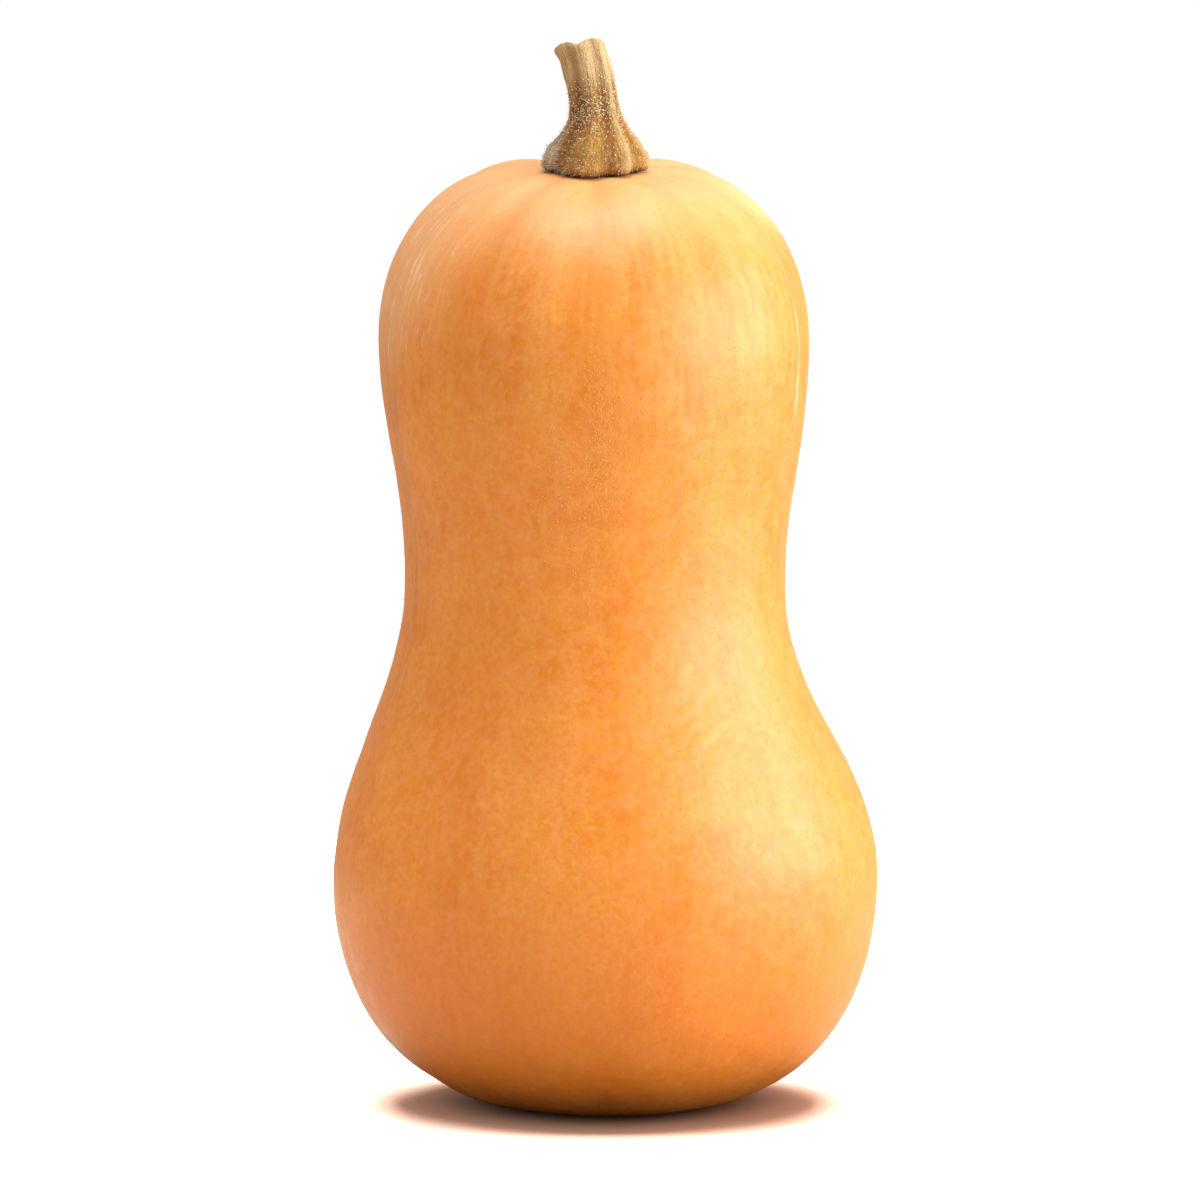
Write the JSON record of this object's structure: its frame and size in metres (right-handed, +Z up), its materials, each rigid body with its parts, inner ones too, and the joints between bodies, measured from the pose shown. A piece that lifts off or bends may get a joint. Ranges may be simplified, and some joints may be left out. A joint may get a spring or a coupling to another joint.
{
  "type": "butternut squash",
  "caption": "Whole butternut squash standing on its blossom end: a round bulb, a long stout neck, faint ribs and a short dry stalk on the crown.",
  "frame": {"origin": "middle of the bounding box's foot, on the surface that the squash stands on", "axes": "+Z up along the fruit from its blossom end to its stalk, -Y towards the front, +X to the right"},
  "size_m": [0.1228, 0.1196, 0.2403],
  "materials": {
    "rind": "smooth waxy rind, satin, tan to orange in soft mottled streaks, paler round the stalk",
    "dry_stalk": "dry, matt and fibrous, straw at its end, golden brown and bristly below"
  },
  "bodies": {
    "root": {"fruit": "rind", "stalk": "dry_stalk"}
  },
  "joints": []
}
